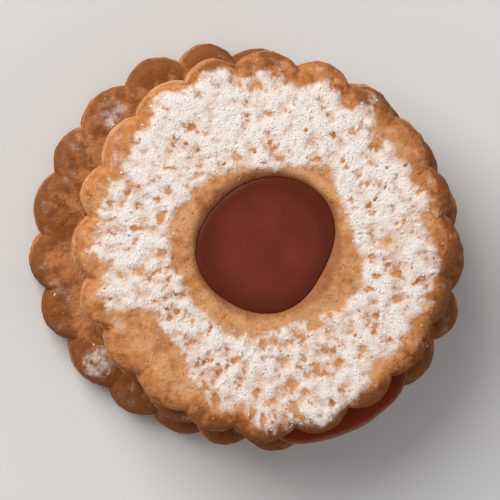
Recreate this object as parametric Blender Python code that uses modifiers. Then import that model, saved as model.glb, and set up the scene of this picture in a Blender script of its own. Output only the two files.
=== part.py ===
"""A linzer wreath cookie: three fluted shortcrust biscuits held together by two layers of jam.

The top biscuit is a ring. The jam under it rises through its round hole and fills it almost
to the brim. The two biscuits below are whole, and each sits a little off centre and turned,
as hand-stacked biscuits do. Units are metres, +Z is up, and the origin is the middle of the
flat face that the cookie rests on.
"""
import math

import bpy
from mathutils import Vector, noise

# Driving dimensions
LOBES = 20                  # rounded lobes that the fluted cutter leaves
LOBE_DEPTH = 0.0014         # from a lobe's tip in to the notch beside it
BISCUIT_THICK = 0.0052
HOLE_ACROSS = 0.0162        # hole in the top biscuit, before its edge strays
HOLE_OFF_MIDDLE = (-0.0002, 0.0004)     # the hole is cut a little off the ring's middle
JAM_THICK = 0.0011          # each jam layer between two biscuits
JAM_ACROSS = 0.0414         # a jam layer before its edge wanders
JAM_OOZE = 0.0029           # how far the upper jam is squeezed out on one side
OOZE_TOWARDS = math.radians(-66)
OOZE_HALF_WIDTH = math.radians(33)      # where the squeezed tongue of jam ends on both sides
JAM_BELOW_BRIM = 0.0005     # how far the jam in the hole lies under the top face
CONTACT_GAP = 0.0003        # clearance between pieces that touch

# Each biscuit from lobe tip to opposite lobe tip, its middle in X and Y, its turn in degrees,
# and the number that sets its chance unevenness
BISCUITS = {
    "bottom_biscuit": {"across": 0.0470, "middle": (0.0, 0.0), "turn": 14.3, "chance": 4.2},
    "middle_biscuit": {"across": 0.0455, "middle": (0.0054, -0.0017), "turn": -9.4, "chance": 6.1},
    "top_biscuit": {"across": 0.0460, "middle": (0.0034, 0.0007), "turn": 8.6, "chance": 2.1},
}

# Unevenness
NOTCH_WANDER = 0.05         # how far a notch strays, as a share of a lobe's width
DEPTH_SPREAD = 0.18         # how much the lobes differ in depth, as a share of it
RIM_WANDER = 0.00030        # slow wander of the whole rim
SIDE_RELIEF = 0.00010       # crags on the cut side
FACE_RELIEF = 0.00016       # soft swells on the ring's top face
EDGE_SAG = 0.00020          # how far a lower biscuit's top rim sinks in places
HOLE_REACH = 0.0100         # how far out from the hole the ring follows its shift and its form
JAM_WANDER = 0.00090        # how far a jam layer's edge strays in and out

# The hole isn't a true circle: slow waves push its edge out and in, each with its count round
# the circle and the side that it pushes out
HOLE_WAVES = [
    {"count": 2, "towards": math.radians(42), "depth": 0.00041},
    {"count": 3, "towards": math.radians(48), "depth": 0.00022},
    {"count": 4, "towards": math.radians(16), "depth": 0.00014},
]

# Mesh fineness
STEPS_PER_LOBE = 6
JAM_STEPS = 60

HOLE = HOLE_ACROSS / 2
LOBE_WIDTH = math.tau / LOBES
SPACING = BISCUIT_THICK + JAM_THICK + 2 * CONTACT_GAP
BASE_Z = {"bottom_biscuit": 0.0, "middle_biscuit": SPACING, "top_biscuit": 2 * SPACING}

FINISHES = {
    "shortcrust": {"colour": (0.62, 0.34, 0.14, 1.0), "roughness": 0.82},
    "browned_shortcrust": {"colour": (0.42, 0.19, 0.07, 1.0), "roughness": 0.85},
    "jam": {"colour": (0.19, 0.032, 0.018, 1.0), "roughness": 0.25},
}


def clear_scene():
    """Remove whatever the scene holds."""
    for item in list(bpy.data.objects):
        bpy.data.objects.remove(item, do_unlink=True)


def make_collection(title):
    """Return a new collection linked to the scene."""
    group = bpy.data.collections.new(title)
    bpy.context.scene.collection.children.link(group)
    return group


def make_material(title):
    """Return a plain material with the named finish."""
    finish = FINISHES[title]
    material = bpy.data.materials.new(title)
    material.use_nodes = True
    shader = material.node_tree.nodes["Principled BSDF"]
    shader.inputs["Base Color"].default_value = finish["colour"]
    shader.inputs["Roughness"].default_value = finish["roughness"]
    shader.inputs["Metallic"].default_value = 0.0
    return material


def smooth_share(value, low, high):
    """Rise smoothly from 0 at low to 1 at high."""
    share = min(max((value - low) / (high - low), 0.0), 1.0)
    return share * share * (3 - 2 * share)


def wander(angle, chance, turns):
    """Return a slow wave round the full circle, between -1 and 1."""
    waves = [math.cos(turn * angle + chance * turn * turn) / turn for turn in turns]
    return sum(waves) / sum(1 / turn for turn in turns)


def rim_radius(name):
    """Return the radius of a biscuit at the foot of its lobes."""
    return BISCUITS[name]["across"] / 2 - LOBE_DEPTH


def notch_angle(notch, chance):
    """Return the angle of one of the notches between the lobes, a little off its even place."""
    stray = NOTCH_WANDER * math.sin(2.4 * (notch % LOBES) + chance * 7)
    return LOBE_WIDTH * (notch + stray)


def lobe_place(even_angle, chance):
    """Return the true angle of an evenly spaced step, and how far the lobe stands out there."""
    share = (even_angle % math.tau) / LOBE_WIDTH
    lobe = math.floor(share + 0.0001)
    along = max(share - lobe, 0.0)
    start = notch_angle(lobe, chance)
    end = notch_angle(lobe + 1, chance)
    depth = LOBE_DEPTH * (1 + DEPTH_SPREAD * math.sin(5.1 * (lobe % LOBES) + chance * 3))
    return start + (end - start) * along, depth * math.sin(math.pi * along) ** 0.8


def turned_mesh(profile, steps, closed):
    """Turn a profile of (radius, height) points about Z into a mesh."""
    points = [(radius, 0.0, height) for radius, height in profile]
    edges = [(i, i + 1) for i in range(len(points) - 1)]
    if closed:
        edges.append((len(points) - 1, 0))
    outline = bpy.data.meshes.new("profile")
    outline.from_pydata(points, edges, [])
    lathe = bpy.data.objects.new("profile", outline)
    bpy.context.scene.collection.objects.link(lathe)
    screw = lathe.modifiers.new("turn", "SCREW")
    screw.steps = steps
    screw.render_steps = steps
    screw.use_merge_vertices = True
    screw.merge_threshold = 0.00001
    seen = lathe.evaluated_get(bpy.context.evaluated_depsgraph_get())
    turned = bpy.data.meshes.new_from_object(seen)
    bpy.data.objects.remove(lathe, do_unlink=True)
    bpy.data.meshes.remove(outline)
    return turned


def add_piece(title, mesh, material, group):
    """Add a finished mesh to the cookie as one named piece."""
    mesh.name = title
    mesh.materials.clear()
    mesh.materials.append(material)
    mesh.shade_smooth()
    mesh.set_sharp_from_angle(angle=math.radians(50))
    piece = bpy.data.objects.new(title, mesh)
    group.objects.link(piece)
    return piece


def outer_profile(rim):
    """Return the edge of a biscuit from its top face, over the rounded rim, to its flat base."""
    top = BISCUIT_THICK
    return [
        (rim - 0.0017, top - 0.00004),
        (rim - 0.0009, top - 0.00022),
        (rim - 0.0003, top - 0.00070),
        (rim - 0.00002, top - 0.00150),
        (rim + 0.0001, top * 0.42),
        (rim, 0.00075),
        (rim - 0.00025, 0.00022),
        (rim - 0.0008, 0.0),
    ]


def whole_profile(rim):
    """Return the profile of a biscuit with no hole."""
    flat_top = [(rim * share, BISCUIT_THICK) for share in (0.0, 0.45, 0.80)]
    return flat_top + outer_profile(rim) + [(rim * 0.5, 0.0), (0.0, 0.0)]


def ring_profile(rim):
    """Return the profile of the ring biscuit, with the soft edge of its hole."""
    top = BISCUIT_THICK
    inner_top = [(HOLE + 0.0014, top), ((HOLE + rim) / 2, top)]
    hole_wall = [(HOLE, 0.0), (HOLE, top - 0.0011), (HOLE + 0.0004, top - 0.00035)]
    return inner_top + outer_profile(rim) + [((HOLE + rim) / 2, 0.0)] + hole_wall


def hole_stray(angle):
    """Return how far the hole's wall is from its mean radius at an angle from +X."""
    return sum(
        wave["depth"] * math.cos(wave["count"] * (angle - wave["towards"])) for wave in HOLE_WAVES
    )


def shape_biscuit(mesh, name):
    """Give a turned biscuit its lobes, its soft swells and its place in the stack."""
    plan = BISCUITS[name]
    chance = plan["chance"]
    turn = math.radians(plan["turn"])
    drift = Vector((0, 0, chance * 10))
    rim = rim_radius(name)
    is_ring = name == "top_biscuit"
    for vertex in mesh.vertices:
        x, y, z = vertex.co
        radius = math.hypot(x, y)
        angle, bulge = lobe_place(math.atan2(y, x), chance)
        at_rim = smooth_share(radius, rim * 0.80, rim * 0.97)
        at_side = smooth_share(radius, rim - 0.0008, rim)
        at_top = smooth_share(z, BISCUIT_THICK * 0.5, BISCUIT_THICK)
        spot = Vector((x, y, z)) * 420 + drift
        radius += at_rim * (bulge + RIM_WANDER * wander(angle, chance, turns=(2, 3, 5)))
        radius += at_side * SIDE_RELIEF * noise.noise(spot)
        shift = Vector(plan["middle"])
        if is_ring:
            at_hole = 1 - smooth_share(radius, HOLE, HOLE + HOLE_REACH)
            radius += at_hole * hole_stray(angle + turn)
            shift += at_hole * Vector(HOLE_OFF_MIDDLE)
            z += at_top * FACE_RELIEF * noise.noise(Vector((x, y, 0)) * 160 + drift)
        else:
            z -= at_top * at_rim * EDGE_SAG * abs(noise.noise(spot * 0.6))
        vertex.co.x = shift.x + radius * math.cos(angle + turn)
        vertex.co.y = shift.y + radius * math.sin(angle + turn)
        vertex.co.z = z + BASE_Z[name]


def jam_edge(inner_radius):
    """Return the rounded edge of a jam layer, from its upper face to its lower one."""
    half = JAM_THICK / 2
    reach = JAM_ACROSS / 2
    bends = 4
    arc = [math.pi / 2 - math.pi * i / bends for i in range(bends + 1)]
    rounded = [(reach - half + half * math.cos(a), half + half * math.sin(a)) for a in arc]
    return [(inner_radius, JAM_THICK)] + rounded


def lower_jam_profile():
    """Return the profile of the jam layer between the two whole biscuits."""
    return [(0.0, JAM_THICK)] + jam_edge(JAM_ACROSS / 4) + [(JAM_ACROSS / 4, 0.0), (0.0, 0.0)]


def upper_jam_profile():
    """Return the profile of the jam that spreads under the ring and fills its hole."""
    face = JAM_THICK + CONTACT_GAP + BISCUIT_THICK - JAM_BELOW_BRIM
    wall = HOLE - CONTACT_GAP
    boss = [
        (0.0, face - 0.00010),
        (wall * 0.55, face - 0.00008),
        (wall * 0.85, face),
        (wall - 0.0003, face - 0.00010),
        (wall, face - 0.00045),
    ]
    return boss + jam_edge(wall) + [(JAM_ACROSS / 4, 0.0), (0.0, 0.0)]


def shape_jam(mesh, lower, upper, fills_hole):
    """Let a turned jam layer wander at its edge, and set it between two biscuits."""
    chance = BISCUITS[lower]["chance"] + BISCUITS[upper]["chance"]
    spread_middle = (Vector(BISCUITS[lower]["middle"]) + Vector(BISCUITS[upper]["middle"])) / 2
    hole_middle = Vector(BISCUITS["top_biscuit"]["middle"]) + Vector(HOLE_OFF_MIDDLE)
    floor = BASE_Z[lower] + BISCUIT_THICK + CONTACT_GAP
    for vertex in mesh.vertices:
        x, y, z = vertex.co
        radius = math.hypot(x, y)
        angle = math.atan2(y, x)
        at_edge = smooth_share(radius, HOLE, JAM_ACROSS / 2 - JAM_THICK / 2)
        middle = spread_middle
        if fills_hole:
            middle = hole_middle.lerp(spread_middle, at_edge)
            radius += (1 - at_edge) * hole_stray(angle) * smooth_share(radius, 0.0, HOLE)
            facing = math.cos(angle - OOZE_TOWARDS)
            radius += at_edge * JAM_OOZE * smooth_share(facing, math.cos(OOZE_HALF_WIDTH), 1.0)
        radius += at_edge * JAM_WANDER * wander(angle, chance, turns=(2, 3, 5, 8))
        vertex.co.x = middle.x + radius * math.cos(angle)
        vertex.co.y = middle.y + radius * math.sin(angle)
        vertex.co.z = z + floor


def add_whole_biscuit(name, material, group):
    """Add one of the two whole biscuits."""
    mesh = turned_mesh(whole_profile(rim_radius(name)), LOBES * STEPS_PER_LOBE, closed=False)
    shape_biscuit(mesh, name)
    return add_piece(name, mesh, material, group)


def add_ring_biscuit(material, group):
    """Add the top biscuit with its round hole."""
    name = "top_biscuit"
    mesh = turned_mesh(ring_profile(rim_radius(name)), LOBES * STEPS_PER_LOBE, closed=True)
    shape_biscuit(mesh, name)
    return add_piece(name, mesh, material, group)


def add_lower_jam(material, group):
    """Add the jam between the two whole biscuits."""
    mesh = turned_mesh(lower_jam_profile(), JAM_STEPS, closed=False)
    shape_jam(mesh, "bottom_biscuit", "middle_biscuit", fills_hole=False)
    return add_piece("lower_jam", mesh, material, group)


def add_upper_jam(material, group):
    """Add the jam under the ring, which shows in its hole."""
    mesh = turned_mesh(upper_jam_profile(), JAM_STEPS, closed=False)
    shape_jam(mesh, "middle_biscuit", "top_biscuit", fills_hole=True)
    return add_piece("upper_jam", mesh, material, group)


def main():
    """Build the cookie from its base upwards."""
    clear_scene()
    group = make_collection("linzer_wreath_cookie")
    shortcrust = make_material("shortcrust")
    browned = make_material("browned_shortcrust")
    jam = make_material("jam")
    add_whole_biscuit("bottom_biscuit", browned, group)
    add_lower_jam(jam, group)
    add_whole_biscuit("middle_biscuit", browned, group)
    add_upper_jam(jam, group)
    add_ring_biscuit(shortcrust, group)


main()
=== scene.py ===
"""A linzer wreath cookie: three fluted shortcrust biscuits, jam, icing sugar and crumbs.

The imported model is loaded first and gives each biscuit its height. The biscuits are turned
profiles that Geometry Nodes flute, bake and dust. Run as a script, this file makes the cookie,
the light, the floor and the camera. Lengths are in metres.
"""
import math

import bpy
import numpy as np
from bpy.props import FloatProperty, FloatVectorProperty, IntProperty, PointerProperty
from mathutils import Matrix, Vector


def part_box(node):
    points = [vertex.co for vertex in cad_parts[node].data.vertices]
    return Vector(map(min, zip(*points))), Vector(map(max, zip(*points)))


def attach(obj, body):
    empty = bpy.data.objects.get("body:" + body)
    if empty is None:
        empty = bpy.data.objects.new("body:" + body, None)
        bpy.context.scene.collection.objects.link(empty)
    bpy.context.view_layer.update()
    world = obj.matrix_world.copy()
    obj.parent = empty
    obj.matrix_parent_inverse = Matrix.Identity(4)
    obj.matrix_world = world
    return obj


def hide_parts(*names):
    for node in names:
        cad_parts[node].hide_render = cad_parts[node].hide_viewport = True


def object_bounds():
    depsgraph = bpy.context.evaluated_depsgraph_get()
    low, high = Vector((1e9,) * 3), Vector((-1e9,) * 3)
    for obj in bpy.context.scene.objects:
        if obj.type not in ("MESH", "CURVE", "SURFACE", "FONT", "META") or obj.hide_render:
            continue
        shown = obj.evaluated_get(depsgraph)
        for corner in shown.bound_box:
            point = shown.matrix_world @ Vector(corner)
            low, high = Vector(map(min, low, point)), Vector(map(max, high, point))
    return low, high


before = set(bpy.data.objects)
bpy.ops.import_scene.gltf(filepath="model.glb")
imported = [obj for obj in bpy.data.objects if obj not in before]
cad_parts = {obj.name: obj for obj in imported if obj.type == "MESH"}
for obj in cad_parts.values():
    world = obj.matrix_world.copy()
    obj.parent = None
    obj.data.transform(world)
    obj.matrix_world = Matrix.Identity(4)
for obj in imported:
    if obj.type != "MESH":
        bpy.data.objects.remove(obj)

bl_info = {
    "name": "Linzer wreath cookie",
    "version": (1, 0, 0),
    "blender": (4, 5, 0),
    "location": "View3D > Sidebar > Linzer cookie",
    "description": "Makes a stacked linzer wreath cookie with jam and icing sugar",
    "category": "Object",
}

CAD_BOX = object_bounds()
BODY = "root"
MM = 0.001
DUSTED = ("dusted_ring", "dusted_middle_biscuit", "dusted_bottom_biscuit")

# How the biscuits were stacked: each one's middle, its turn in degrees, and the number that
# sets its chance unevenness
STACK = {
    "bottom_biscuit": {"middle": (0.0, 0.0), "turn": 14.3, "chance": 4.2},
    "middle_biscuit": {"middle": (0.0054, -0.0017), "turn": -9.4, "chance": 6.1},
    "top_biscuit": {"middle": (0.0034, 0.0007), "turn": 8.6, "chance": 2.1},
}
BASE_Z = {name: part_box(name)[0].z for name in STACK}
HOLE_OFF_MIDDLE = (-0.0002, 0.0004)
CONTACT_GAP = 0.0003

# Unevenness that the solids share. Notches stray and lobes differ in depth as a sine wave
# does that moves on by a step for each of them, from a start that a biscuit's chance sets
NOTCH_WANDER, NOTCH_STEP, NOTCH_START = 0.05, 2.4, 7.0
DEPTH_SPREAD, DEPTH_STEP, DEPTH_START = 0.18, 5.1, 3.0
LOBE_FULLNESS = 0.8
RIM_WANDER, RIM_TURNS = 0.00030, (2, 3, 5)
HOLE_REACH = 0.0100
JAM_WANDER, JAM_TURNS = 0.00090, (2, 3, 5, 8)
OOZE_TOWARDS = math.radians(-66)
OOZE_HALF_WIDTH = math.radians(33)

# The hole isn't a true circle: slow waves push its edge out and in, each with its count round
# the circle and the side that it pushes out
HOLE_WAVES = [
    {"count": 2, "towards": math.radians(42), "depth": 0.00041},
    {"count": 3, "towards": math.radians(48), "depth": 0.00022},
    {"count": 4, "towards": math.radians(16), "depth": 0.00014},
]

# Rounding of a biscuit's edges, as (inwards, downwards or upwards)
TOP_ROUND = (0.0018, 0.0016)
BASE_ROUND = (0.0008, 0.00075)
HOLE_ROUND = (0.0014, 0.0011)
BELLY = 0.0001

# Mesh fineness. The whole biscuits are fine from where their ledges begin, and the number of
# steps of a rounding follows its size
STEPS_PER_LOBE = 36
FINE = 0.00024
LEDGE_FROM = 0.0155
TOP_ROUND_STEPS, BASE_ROUND_STEPS, HOLE_ROUND_STEPS = 10, 5, 8
JAM_STEPS, JAM_EDGE_STEPS = 360, 14
WELD = 0.000005

# What only this script gives the jam: it sinks into the biscuits that it touches, fills the
# hole to its wall, and has a finer wander at its edge and small ripples on its face
JAM_SUNK = 0.00006
JAM_INTO_WALL = 0.00012
FINE_WANDER, FINE_TURNS = 0.00022, (13, 17, 22, 31)
RIPPLE = 0.00002

# Where the sugar lies on the ring, seen from above. It keeps off the hole's middle by a radius
# with a few slow waves, each with its count round the circle, and reaches out to a radius that
# bare patches cut into. Where a patch's depth is negative, the sugar reaches further out
BARE_ROUND_JAM = 0.01085
BARE_WAVES = [
    {"count": 1, "towards": math.radians(-108), "depth": 0.00043},
    {"count": 2, "towards": math.radians(-2), "depth": 0.00065},
    {"count": 3, "towards": math.radians(-59), "depth": 0.00017},
    {"count": 4, "towards": math.radians(-28), "depth": 0.00053},
    {"count": 5, "towards": math.radians(-27), "depth": 0.00040},
    {"count": 6, "towards": math.radians(-12), "depth": 0.00022},
]
SUGAR_REACH = 0.0210
BARE_PATCHES = [
    {"towards": math.radians(-171), "half_width": math.radians(6), "depth": 0.0012},
    {"towards": math.radians(-139), "half_width": math.radians(22), "depth": 0.0053},
    {"towards": math.radians(-118), "half_width": math.radians(11), "depth": 0.0022},
    {"towards": math.radians(-102), "half_width": math.radians(8), "depth": 0.0017},
    {"towards": math.radians(-75), "half_width": math.radians(30), "depth": -0.0008},
    {"towards": math.radians(-43), "half_width": math.radians(20), "depth": 0.0019},
    {"towards": math.radians(-22), "half_width": math.radians(10), "depth": 0.0009},
    {"towards": math.radians(2), "half_width": math.radians(13), "depth": 0.0018},
    {"towards": math.radians(38), "half_width": math.radians(40), "depth": 0.0019},
    {"towards": math.radians(54), "half_width": math.radians(7), "depth": -0.0008},
    {"towards": math.radians(82), "half_width": math.radians(14), "depth": 0.0010},
    {"towards": math.radians(120), "half_width": math.radians(22), "depth": -0.0008},
    {"towards": math.radians(150), "half_width": math.radians(25), "depth": 0.0008},
]
# Sugar lies thicker towards this side. This is partly painted light: the ring is made whiter on
# the side where the light falls most
SUGAR_THICKER_AND_LIT_TOWARDS = math.radians(80)

# Two spots on the ledges where more sugar lies. Their heights don't count
LEDGE_SUGAR_AT = ((-0.0133, 0.0155, 0.0), (-0.0157, -0.0145, 0.0))

# How each biscuit is baked towards its rim, and how much shade is painted into its crust, darker
# on the side away from the light
PAINTED_SHADE_TOWARDS = math.radians(-25)
BAKING = {
    "bottom_biscuit": {"Edge browning": 0.72, "Browner by": 0.22},
    "middle_biscuit": {"Edge browning": 0.72, "Browner by": 0.05},
    "top_biscuit": {"Edge browning": 0.78, "Browner by": 0.30},
}

# How brown and how blotched each biscuit's crust is overall
CRUSTS = {
    "bottom_biscuit": {"browning": 0.70, "mottling": 1.6},
    "middle_biscuit": {"browning": 0.48, "mottling": 1.6},
    "top_biscuit": {"browning": 0.17, "mottling": 2.1},
}

# How loose lumps lie: how much they crowd where the surface has most of what they are, how
# much more often they are small than large, how small the smallest are, and the least and the
# most that each is stretched and turned
CROWDING = 1.5
SMALL_SKEW = 2.2
SMALLEST_SHARE = 0.25
LUMP_STRETCH = ((0.6, 0.6, 0.30), (1.35, 1.35, 0.80))
LUMP_TURN = ((0.0, 0.0, 0.0), (0.7, 0.7, math.tau))

# The biscuit that shelters each whole one, besides the ring
NEXT_UP = {"bottom_biscuit": "middle_biscuit", "middle_biscuit": "top_biscuit"}

# Colours that follow from the others: crust that jam has wetted, jam darkened towards the hole's
# edge as painted shade of the brim, and jam squeezed out into the light
JAM_STAIN = (0.27, 0.080, 0.028)
JAM_SHADED_AT_BRIM = (0.116, 0.0200, 0.0095)
JAM_IN_THE_OPEN = (0.225, 0.0265, 0.0010)

# Where each pattern is read, so that no two patterns of one kind line up
PATTERN_AT = {
    "pits": (0.011, 0.007, 0.0),
    "strays": (0.04, 0.06, 0.0),
    "drifts": (0.02, 0.01, 0.0),
    "heaps": (0.05, 0.03, 0.0),
    "gaps": (0.09, 0.02, 0.0),
    "nicks": (0.02, 0.08, 0.0),
    "dents": (3.0, 5.0, 0.0),
    "flour": (0.06, 0.05, 0.0),
    "flecks": (0.03, 0.07, 0.0),
    "powder": (0.01, 0.04, 0.0),
    "pores": (0.013, 0.002, 0.0),
}

# The kind of a modifier tree's input, by the type of its default
INPUT_KINDS = {int: "NodeSocketInt", float: "NodeSocketFloat", tuple: "NodeSocketVector"}
NOWHERE = (0.0, 0.0, 0.0)

# Square soft lights: the side that each shines from, how far off, how wide, how strong and of
# what colour
LIGHTS = {
    "window": {
        "side": (-0.60, 0.70, 0.85),
        "distance": 0.9,
        "size": 0.60,
        "energy": 8.3,
        "colour": (1.0, 0.985, 0.96),
    },
    "fill": {
        "side": (0.80, -0.30, 0.70),
        "distance": 1.0,
        "size": 0.80,
        "energy": 1.2,
        "colour": (0.97, 0.98, 1.0),
    },
}
SKY_STRENGTH = 0.28

# The camera leans a little up and to the left, and the floor lies just under the cookie
CAMERA_LEANS_TO = (-0.779, 0.627, 0.0)
SENSOR_WIDTH = 36.0
FLOOR_HALF, FLOOR_Z = 1.5, -0.00002


class BiscuitSettings(bpy.types.PropertyGroup):
    """Sizes and colours of the three biscuits."""

    bottom_biscuit: FloatProperty(
        name="Bottom biscuit",
        description="From lobe tip to opposite lobe tip",
        default=0.0470,
        min=0.02,
        unit="LENGTH",
    )
    middle_biscuit: FloatProperty(
        name="Middle biscuit",
        description="From lobe tip to opposite lobe tip",
        default=0.0455,
        min=0.02,
        unit="LENGTH",
    )
    top_biscuit: FloatProperty(
        name="Top biscuit",
        description="From lobe tip to opposite lobe tip",
        default=0.0460,
        min=0.02,
        unit="LENGTH",
    )
    thickness: FloatProperty(
        name="Thickness",
        description="Height of one biscuit",
        default=0.0052,
        min=0.002,
        unit="LENGTH",
    )
    lobes: IntProperty(
        name="Lobes",
        description="Rounded lobes that the fluted cutter leaves",
        default=20,
        min=6,
    )
    lobe_depth: FloatProperty(
        name="Lobe depth",
        description="From a lobe's tip in to the notch beside it",
        default=0.0014,
        min=0.0,
        unit="LENGTH",
    )
    hole_across: FloatProperty(
        name="Hole across",
        description="Hole in the top biscuit before its edge strays",
        default=0.0162,
        min=0.005,
        unit="LENGTH",
    )
    golden: FloatVectorProperty(
        name="Golden crust",
        description="Crust that baked least, round the hole",
        default=(0.66, 0.330, 0.146),
        min=0.0,
        max=1.0,
        subtype="COLOR",
    )
    toasted: FloatVectorProperty(
        name="Toasted crust",
        description="Crust between the two, towards the rim",
        default=(0.53, 0.205, 0.068),
        min=0.0,
        max=1.0,
        subtype="COLOR",
    )
    browned: FloatVectorProperty(
        name="Browned crust",
        description="Crust that baked most, at the lobe tips",
        default=(0.250, 0.080, 0.020),
        min=0.0,
        max=1.0,
        subtype="COLOR",
    )


class JamSettings(bpy.types.PropertyGroup):
    """Sizes and colour of the two jam layers."""

    thickness: FloatProperty(
        name="Thickness",
        description="Each jam layer between two biscuits",
        default=0.0011,
        min=0.0003,
        unit="LENGTH",
    )
    across: FloatProperty(
        name="Across",
        description="A jam layer before its edge wanders",
        default=0.0414,
        min=0.01,
        unit="LENGTH",
    )
    below_brim: FloatProperty(
        name="Below brim",
        description="How far the jam in the hole lies under the ring's top face",
        default=0.0005,
        min=0.0,
        unit="LENGTH",
    )
    ooze: FloatProperty(
        name="Ooze",
        description="How far the upper layer is squeezed out on one side",
        default=0.0029,
        min=0.0,
        unit="LENGTH",
    )
    colour: FloatVectorProperty(
        name="Colour",
        description="Jam as deep as the hole",
        default=(0.176, 0.0305, 0.0180),
        min=0.0,
        max=1.0,
        subtype="COLOR",
    )


class SugarSettings(bpy.types.PropertyGroup):
    """Sizes, amount and colour of the icing sugar."""

    thickness: FloatProperty(
        name="Thickness",
        description="Sugar where it lies thickest",
        default=0.00020,
        min=0.0,
        unit="LENGTH",
    )
    lump_size: FloatProperty(
        name="Lump size",
        description="Across the largest lumps",
        default=0.00031,
        min=0.0001,
        unit="LENGTH",
    )
    lumps_per_square_mm: FloatProperty(
        name="Lumps per square millimetre",
        description="How many lumps lie on thick sugar",
        default=8.5,
        min=0.0,
    )
    seed: IntProperty(
        name="Seed",
        description="Changes where the lumps fall",
        default=4,
    )
    colour: FloatVectorProperty(
        name="Colour",
        description="Sugar where it lies thickest",
        default=(0.965, 0.855, 0.790),
        min=0.0,
        max=1.0,
        subtype="COLOR",
    )


class CrumbSettings(bpy.types.PropertyGroup):
    """Size and number of the loose crumbs."""

    size: FloatProperty(
        name="Size",
        description="Across the largest crumbs",
        default=0.00050,
        min=0.0001,
        unit="LENGTH",
    )
    crumbs_per_square_mm: FloatProperty(
        name="Crumbs per square millimetre",
        description="How many crumbs lie on open crust",
        default=0.08,
        min=0.0,
    )
    seed: IntProperty(
        name="Seed",
        description="Changes where the crumbs fall",
        default=9,
    )


class StageSettings(bpy.types.PropertyGroup):
    """The view, the light and the floor."""

    tilt: FloatProperty(
        name="Tilt",
        description="How far the camera leans from straight above",
        default=math.radians(9),
        subtype="ANGLE",
        unit="ROTATION",
    )
    distance: FloatProperty(
        name="Distance",
        description="From the camera to the cookie",
        default=0.93,
        min=0.1,
        unit="LENGTH",
    )
    frame_width: FloatProperty(
        name="Frame width",
        description="Width of the view at the cookie",
        default=0.0600,
        min=0.01,
        unit="LENGTH",
    )
    floor_colour: FloatVectorProperty(
        name="Floor",
        description="Colour of the plain floor",
        default=(0.74, 0.73, 0.72),
        min=0.0,
        max=1.0,
        subtype="COLOR",
    )


class Wire:
    """A value in a node tree. Arithmetic on it adds the nodes."""

    def __init__(self, tree, socket):
        self.tree = tree
        self.socket = socket

    def __add__(self, other):
        return maths(self.tree, "ADD", self, other)

    def __radd__(self, other):
        return maths(self.tree, "ADD", other, self)

    def __sub__(self, other):
        return maths(self.tree, "SUBTRACT", self, other)

    def __rsub__(self, other):
        return maths(self.tree, "SUBTRACT", other, self)

    def __mul__(self, other):
        return maths(self.tree, "MULTIPLY", self, other)

    def __truediv__(self, other):
        return maths(self.tree, "DIVIDE", self, other)

    def __rtruediv__(self, other):
        return maths(self.tree, "DIVIDE", other, self)

    def __mod__(self, other):
        return maths(self.tree, "FLOORED_MODULO", self, other)

    def __pow__(self, other):
        return maths(self.tree, "POWER", self, other)


def add_node(tree, kind, inputs=None, **settings):
    """Add a node, set its options, and set or wire its inputs by name or number."""
    node = tree.nodes.new(kind)
    node.location = (200 * (len(tree.nodes) % 16), -220 * (len(tree.nodes) // 16))
    for name, value in settings.items():
        setattr(node, name, value)
    for name, value in (inputs or {}).items():
        connect(tree, value, node.inputs[name])
    return node


def connect(tree, value, socket):
    """Wire a value to a socket, or set the socket where the value is a plain one."""
    if isinstance(value, Wire):
        tree.links.new(value.socket, socket)
    else:
        socket.default_value = value


def result(tree, kind, inputs=None, output=0, **settings):
    """Add a node and return one of its outputs, by name or number."""
    return Wire(tree, add_node(tree, kind, inputs, **settings).outputs[output])


def maths(tree, operation, *values):
    """Return the result of a Math node."""
    return result(tree, "ShaderNodeMath", dict(enumerate(values)), operation=operation)


def vector_maths(tree, operation, *values):
    """Return the result of a Vector Math node."""
    return result(tree, "ShaderNodeVectorMath", dict(enumerate(values)), operation=operation)


def sine(value):
    """Return the sine of a wire."""
    return maths(value.tree, "SINE", value)


def cosine(value):
    """Return the cosine of a wire."""
    return maths(value.tree, "COSINE", value)


def rise(value, low, high):
    """Rise smoothly from 0 where value is low to 1 where it is high."""
    inputs = {0: value, 1: low, 2: high, 3: 0.0, 4: 1.0}
    return result(value.tree, "ShaderNodeMapRange", inputs, interpolation_type="SMOOTHSTEP")


def split(vector):
    """Return the x, y and z of a vector wire."""
    node = add_node(vector.tree, "ShaderNodeSeparateXYZ", {0: vector})
    return [Wire(vector.tree, socket) for socket in node.outputs]


def join(tree, x, y, z):
    """Return a vector made of three values."""
    return result(tree, "ShaderNodeCombineXYZ", {0: x, 1: y, 2: z})


def noise(place, size, detail=2.0, roughness=0.5):
    """Return soft noise about 0.5, whose features are about as large as size."""
    inputs = {"Vector": place, "Scale": 1 / size, "Detail": detail, "Roughness": roughness}
    return result(place.tree, "ShaderNodeTexNoise", inputs)


def shifted(place, pattern):
    """Return a place moved to where a pattern is read."""
    return vector_maths(place.tree, "ADD", place, PATTERN_AT[pattern])


def cells(place, size):
    """Return the distance to the nearest of many points scattered about size apart."""
    inputs = {"Vector": place, "Scale": 1 / size}
    return result(place.tree, "ShaderNodeTexVoronoi", inputs, "Distance")


def new_tree(title, inputs):
    """Return a modifier tree, its geometry, and wires from its named inputs."""
    tree = bpy.data.node_groups.new(title, "GeometryNodeTree")
    tree.is_modifier = True
    tree.interface.new_socket("Geometry", in_out="INPUT", socket_type="NodeSocketGeometry")
    tree.interface.new_socket("Geometry", in_out="OUTPUT", socket_type="NodeSocketGeometry")
    for name, value in inputs.items():
        kind = INPUT_KINDS[type(value)]
        socket = tree.interface.new_socket(name, in_out="INPUT", socket_type=kind)
        socket.default_value = value
    entry = add_node(tree, "NodeGroupInput")
    wires = {name: Wire(tree, entry.outputs[name]) for name in inputs}
    return tree, Wire(tree, entry.outputs["Geometry"]), wires


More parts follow.
